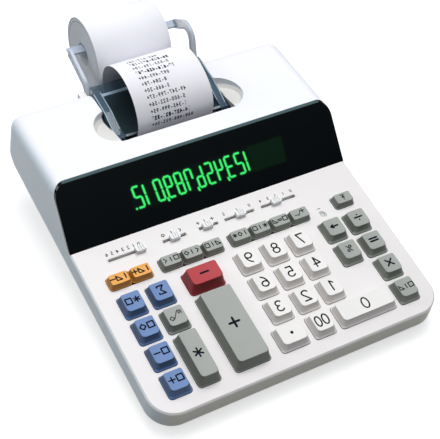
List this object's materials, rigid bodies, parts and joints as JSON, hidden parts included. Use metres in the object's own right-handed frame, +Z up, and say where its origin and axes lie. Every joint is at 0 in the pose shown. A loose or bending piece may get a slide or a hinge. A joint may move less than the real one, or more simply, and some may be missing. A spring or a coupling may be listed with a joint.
{
  "type": "printing calculator",
  "caption": "Desk-top printing calculator: sloped key deck, smoked display panel, printer under a hinged tear-off cover, curling paper tape and a paper roll on a folding rear holder.",
  "frame": {"origin": "On the table, under the centre of the machine's bounding box", "axes": "+Z up from the table, +Y from the user towards the paper roll, +X to the user's right as the picture shows the layout"},
  "size_m": [0.21, 0.2978, 0.0951],
  "materials": {
    "upper_plastic": "fine-grained light grey moulded plastic",
    "lower_plastic": "grained grey moulded plastic",
    "smoked_panel": "glossy smoked panel",
    "tube_glass": "dark display tube glass",
    "circuit_board": "green lacquered board",
    "mat_rubber": "grey silicone rubber",
    "frame_steel": "zinc-plated sheet steel",
    "drum_plastic": "dark moulded type drum",
    "ink_felt": "ink-soaked felt",
    "roller_rubber": "black rubber roller",
    "pinion_brass": "plain cut brass",
    "motor_steel": "plated steel can",
    "smoked_cover": "clear smoked plastic",
    "paper": "uncoated white paper",
    "holder_plastic": "light moulded plastic",
    "feet_rubber": "black rubber",
    "knob_grey": "light grey moulded plastic",
    "key_white": "white moulded plastic with printed legend",
    "key_grey": "grey-green moulded plastic with printed legend",
    "key_blue": "blue moulded plastic with printed legend",
    "key_red": "red moulded plastic with printed legend",
    "key_orange": "orange moulded plastic with printed legend"
  },
  "bodies": {
    "case": {"upper_case": "upper_plastic", "lower_case": "lower_plastic", "display_window": "smoked_panel", "display_tube": "tube_glass", "key_mat": "mat_rubber", "main_board": "circuit_board", "printer_frame": "frame_steel", "motor": "motor_steel", "rubber_feet": "feet_rubber", "paper_tape": "paper"},
    "key_1": {"key_1": "key_white"},
    "key_2": {"key_2": "key_white"},
    "key_3": {"key_3": "key_white"},
    "key_4": {"key_4": "key_white"},
    "key_5": {"key_5": "key_white"},
    "key_6": {"key_6": "key_white"},
    "key_7": {"key_7": "key_white"},
    "key_8": {"key_8": "key_white"},
    "key_9": {"key_9": "key_white"},
    "key_add": {"key_add": "key_grey"},
    "key_back": {"key_back": "key_grey"},
    "key_clear": {"key_clear": "key_grey"},
    "key_divide": {"key_divide": "key_grey"},
    "key_double_zero": {"key_double_zero": "key_white"},
    "key_equals": {"key_equals": "key_grey"},
    "key_feed": {"key_feed": "key_grey"},
    "key_grand_total": {"key_grand_total": "key_blue"},
    "key_margin_1": {"key_margin_1": "key_grey"},
    "key_margin_2": {"key_margin_2": "key_grey"},
    "key_margin_3": {"key_margin_3": "key_grey"},
    "key_memory_bank_1": {"key_memory_bank_1": "key_grey"},
    "key_memory_bank_2": {"key_memory_bank_2": "key_grey"},
    "key_memory_bank_3": {"key_memory_bank_3": "key_grey"},
    "key_memory_bank_4": {"key_memory_bank_4": "key_grey"},
    "key_memory_minus": {"key_memory_minus": "key_blue"},
    "key_memory_plus": {"key_memory_plus": "key_blue"},
    "key_memory_recall": {"key_memory_recall": "key_blue"},
    "key_memory_total": {"key_memory_total": "key_blue"},
    "key_multiply": {"key_multiply": "key_grey"},
    "key_number_sign": {"key_number_sign": "key_grey"},
    "key_percent": {"key_percent": "key_grey"},
    "key_point": {"key_point": "key_white"},
    "key_star": {"key_star": "key_grey"},
    "key_subtract": {"key_subtract": "key_red"},
    "key_tax_1": {"key_tax_1": "key_orange"},
    "key_tax_2": {"key_tax_2": "key_orange"},
    "key_zero": {"key_zero": "key_white"},
    "reset_button": {"reset_button": "knob_grey"},
    "slider_constant": {"slider_constant": "knob_grey"},
    "slider_counter": {"slider_counter": "knob_grey"},
    "slider_decimal": {"slider_decimal": "knob_grey"},
    "slider_print": {"slider_print": "knob_grey"},
    "slider_rounding": {"slider_rounding": "knob_grey"},
    "cutter_cover": {"cutter_cover": "smoked_cover"},
    "paper_holder": {"paper_holder": "holder_plastic"},
    "paper_roll": {"paper_roll": "paper"},
    "print_drum": {"print_drum": "drum_plastic"},
    "feed_roller": {"feed_roller": "roller_rubber"},
    "motor_pinion": {"motor_pinion": "pinion_brass"},
    "ink_roller": {"ink_roller": "ink_felt"}
  },
  "joints": [
    {"name": "key_1_press", "type": "slide", "parent": "case", "child": "key_1", "axis": [0, 0.1219, -0.9925], "range_m": [0, 0.0026], "stiffness_N_per_m": 250, "springref_m": -0.0006},
    {"name": "key_2_press", "type": "slide", "parent": "case", "child": "key_2", "axis": [0, 0.1219, -0.9925], "range_m": [0, 0.0026], "stiffness_N_per_m": 250, "springref_m": -0.0006},
    {"name": "key_3_press", "type": "slide", "parent": "case", "child": "key_3", "axis": [0, 0.1219, -0.9925], "range_m": [0, 0.0026], "stiffness_N_per_m": 250, "springref_m": -0.0006},
    {"name": "key_4_press", "type": "slide", "parent": "case", "child": "key_4", "axis": [0, 0.1219, -0.9925], "range_m": [0, 0.0026], "stiffness_N_per_m": 250, "springref_m": -0.0006},
    {"name": "key_5_press", "type": "slide", "parent": "case", "child": "key_5", "axis": [0, 0.1219, -0.9925], "range_m": [0, 0.0026], "stiffness_N_per_m": 250, "springref_m": -0.0006},
    {"name": "key_6_press", "type": "slide", "parent": "case", "child": "key_6", "axis": [0, 0.1219, -0.9925], "range_m": [0, 0.0026], "stiffness_N_per_m": 250, "springref_m": -0.0006},
    {"name": "key_7_press", "type": "slide", "parent": "case", "child": "key_7", "axis": [0, 0.1219, -0.9925], "range_m": [0, 0.0026], "stiffness_N_per_m": 250, "springref_m": -0.0006},
    {"name": "key_8_press", "type": "slide", "parent": "case", "child": "key_8", "axis": [0, 0.1219, -0.9925], "range_m": [0, 0.0026], "stiffness_N_per_m": 250, "springref_m": -0.0006},
    {"name": "key_9_press", "type": "slide", "parent": "case", "child": "key_9", "axis": [0, 0.1219, -0.9925], "range_m": [0, 0.0026], "stiffness_N_per_m": 250, "springref_m": -0.0006},
    {"name": "key_add_press", "type": "slide", "parent": "case", "child": "key_add", "axis": [0, 0.1219, -0.9925], "range_m": [0, 0.0026], "stiffness_N_per_m": 250, "springref_m": -0.0006},
    {"name": "key_back_press", "type": "slide", "parent": "case", "child": "key_back", "axis": [0, 0.1219, -0.9925], "range_m": [0, 0.0026], "stiffness_N_per_m": 250, "springref_m": -0.0006},
    {"name": "key_clear_press", "type": "slide", "parent": "case", "child": "key_clear", "axis": [0, 0.1219, -0.9925], "range_m": [0, 0.0026], "stiffness_N_per_m": 250, "springref_m": -0.0006},
    {"name": "key_divide_press", "type": "slide", "parent": "case", "child": "key_divide", "axis": [0, 0.1219, -0.9925], "range_m": [0, 0.0026], "stiffness_N_per_m": 250, "springref_m": -0.0006},
    {"name": "key_double_zero_press", "type": "slide", "parent": "case", "child": "key_double_zero", "axis": [0, 0.1219, -0.9925], "range_m": [0, 0.0026], "stiffness_N_per_m": 250, "springref_m": -0.0006},
    {"name": "key_equals_press", "type": "slide", "parent": "case", "child": "key_equals", "axis": [0, 0.1219, -0.9925], "range_m": [0, 0.0026], "stiffness_N_per_m": 250, "springref_m": -0.0006},
    {"name": "key_feed_press", "type": "slide", "parent": "case", "child": "key_feed", "axis": [0, 0.1219, -0.9925], "range_m": [0, 0.0026], "stiffness_N_per_m": 250, "springref_m": -0.0006},
    {"name": "key_grand_total_press", "type": "slide", "parent": "case", "child": "key_grand_total", "axis": [0, 0.1219, -0.9925], "range_m": [0, 0.0026], "stiffness_N_per_m": 250, "springref_m": -0.0006},
    {"name": "key_margin_1_press", "type": "slide", "parent": "case", "child": "key_margin_1", "axis": [0, 0.1219, -0.9925], "range_m": [0, 0.0026], "stiffness_N_per_m": 250, "springref_m": -0.0006},
    {"name": "key_margin_2_press", "type": "slide", "parent": "case", "child": "key_margin_2", "axis": [0, 0.1219, -0.9925], "range_m": [0, 0.0026], "stiffness_N_per_m": 250, "springref_m": -0.0006},
    {"name": "key_margin_3_press", "type": "slide", "parent": "case", "child": "key_margin_3", "axis": [0, 0.1219, -0.9925], "range_m": [0, 0.0026], "stiffness_N_per_m": 250, "springref_m": -0.0006},
    {"name": "key_memory_bank_1_press", "type": "slide", "parent": "case", "child": "key_memory_bank_1", "axis": [0, 0.1219, -0.9925], "range_m": [0, 0.0026], "stiffness_N_per_m": 250, "springref_m": -0.0006},
    {"name": "key_memory_bank_2_press", "type": "slide", "parent": "case", "child": "key_memory_bank_2", "axis": [0, 0.1219, -0.9925], "range_m": [0, 0.0026], "stiffness_N_per_m": 250, "springref_m": -0.0006},
    {"name": "key_memory_bank_3_press", "type": "slide", "parent": "case", "child": "key_memory_bank_3", "axis": [0, 0.1219, -0.9925], "range_m": [0, 0.0026], "stiffness_N_per_m": 250, "springref_m": -0.0006},
    {"name": "key_memory_bank_4_press", "type": "slide", "parent": "case", "child": "key_memory_bank_4", "axis": [0, 0.1219, -0.9925], "range_m": [0, 0.0026], "stiffness_N_per_m": 250, "springref_m": -0.0006},
    {"name": "key_memory_minus_press", "type": "slide", "parent": "case", "child": "key_memory_minus", "axis": [0, 0.1219, -0.9925], "range_m": [0, 0.0026], "stiffness_N_per_m": 250, "springref_m": -0.0006},
    {"name": "key_memory_plus_press", "type": "slide", "parent": "case", "child": "key_memory_plus", "axis": [0, 0.1219, -0.9925], "range_m": [0, 0.0026], "stiffness_N_per_m": 250, "springref_m": -0.0006},
    {"name": "key_memory_recall_press", "type": "slide", "parent": "case", "child": "key_memory_recall", "axis": [0, 0.1219, -0.9925], "range_m": [0, 0.0026], "stiffness_N_per_m": 250, "springref_m": -0.0006},
    {"name": "key_memory_total_press", "type": "slide", "parent": "case", "child": "key_memory_total", "axis": [0, 0.1219, -0.9925], "range_m": [0, 0.0026], "stiffness_N_per_m": 250, "springref_m": -0.0006},
    {"name": "key_multiply_press", "type": "slide", "parent": "case", "child": "key_multiply", "axis": [0, 0.1219, -0.9925], "range_m": [0, 0.0026], "stiffness_N_per_m": 250, "springref_m": -0.0006},
    {"name": "key_number_sign_press", "type": "slide", "parent": "case", "child": "key_number_sign", "axis": [0, 0.1219, -0.9925], "range_m": [0, 0.0026], "stiffness_N_per_m": 250, "springref_m": -0.0006},
    {"name": "key_percent_press", "type": "slide", "parent": "case", "child": "key_percent", "axis": [0, 0.1219, -0.9925], "range_m": [0, 0.0026], "stiffness_N_per_m": 250, "springref_m": -0.0006},
    {"name": "key_point_press", "type": "slide", "parent": "case", "child": "key_point", "axis": [0, 0.1219, -0.9925], "range_m": [0, 0.0026], "stiffness_N_per_m": 250, "springref_m": -0.0006},
    {"name": "key_star_press", "type": "slide", "parent": "case", "child": "key_star", "axis": [0, 0.1219, -0.9925], "range_m": [0, 0.0026], "stiffness_N_per_m": 250, "springref_m": -0.0006},
    {"name": "key_subtract_press", "type": "slide", "parent": "case", "child": "key_subtract", "axis": [0, 0.1219, -0.9925], "range_m": [0, 0.0026], "stiffness_N_per_m": 250, "springref_m": -0.0006},
    {"name": "key_tax_1_press", "type": "slide", "parent": "case", "child": "key_tax_1", "axis": [0, 0.1219, -0.9925], "range_m": [0, 0.0026], "stiffness_N_per_m": 250, "springref_m": -0.0006},
    {"name": "key_tax_2_press", "type": "slide", "parent": "case", "child": "key_tax_2", "axis": [0, 0.1219, -0.9925], "range_m": [0, 0.0026], "stiffness_N_per_m": 250, "springref_m": -0.0006},
    {"name": "key_zero_press", "type": "slide", "parent": "case", "child": "key_zero", "axis": [0, 0.1219, -0.9925], "range_m": [0, 0.0026], "stiffness_N_per_m": 250, "springref_m": -0.0006},
    {"name": "reset_press", "type": "slide", "parent": "case", "child": "reset_button", "axis": [0, 0.1219, -0.9925], "range_m": [0, 0.001], "stiffness_N_per_m": 250, "springref_m": -0.0004},
    {"name": "slider_constant_slide", "type": "slide", "parent": "case", "child": "slider_constant", "axis": [1, 0, 0], "range_m": [-0.0093, 0.0137]},
    {"name": "slider_counter_slide", "type": "slide", "parent": "case", "child": "slider_counter", "axis": [1, 0, 0], "range_m": [-0.004, 0.0065]},
    {"name": "slider_decimal_slide", "type": "slide", "parent": "case", "child": "slider_decimal", "axis": [1, 0, 0], "range_m": [-0.0208, 0]},
    {"name": "slider_print_slide", "type": "slide", "parent": "case", "child": "slider_print", "axis": [1, 0, 0], "range_m": [-0.0098, 0.009]},
    {"name": "slider_rounding_slide", "type": "slide", "parent": "case", "child": "slider_rounding", "axis": [1, 0, 0], "range_m": [-0.0066, 0.0067]},
    {"name": "cover_hinge", "type": "hinge", "parent": "case", "child": "cutter_cover", "pos_m": [-0.002, 0.0792, 0.0665], "axis": [-1, 0, 0], "range_deg": [0, 18]},
    {"name": "holder_hinge", "type": "hinge", "parent": "case", "child": "paper_holder", "pos_m": [0, 0.08881, 0.05559], "axis": [1, 0, 0], "range_deg": [0, 15]},
    {"name": "roll_spin", "type": "hinge", "parent": "paper_holder", "child": "paper_roll", "pos_m": [-0.0018, 0.12237, 0.06696], "axis": [1, 0, 0], "continuous": true},
    {"name": "drum_spin", "type": "hinge", "parent": "case", "child": "print_drum", "pos_m": [-0.0018, 0.02711, 0.046], "axis": [1, 0, 0], "continuous": true},
    {"name": "feed_spin", "type": "hinge", "parent": "case", "child": "feed_roller", "pos_m": [-0.0018, 0.04379, 0.04804], "axis": [1, 0, 0], "continuous": true},
    {"name": "pinion_spin", "type": "hinge", "parent": "case", "child": "motor_pinion", "pos_m": [0.04, 0.01601, 0.03886], "axis": [1, 0, 0], "continuous": true},
    {"name": "ink_spin", "type": "hinge", "parent": "case", "child": "ink_roller", "pos_m": [-0.0018, 0.01367, 0.0491], "axis": [1, 0, 0], "continuous": true}
  ],
  "couplings": [
    {"joint": "feed_spin", "follows": "drum_spin", "ratio": -1},
    {"joint": "pinion_spin", "follows": "drum_spin", "ratio": -1.75},
    {"joint": "ink_spin", "follows": "drum_spin", "ratio": -1.25}
  ]
}
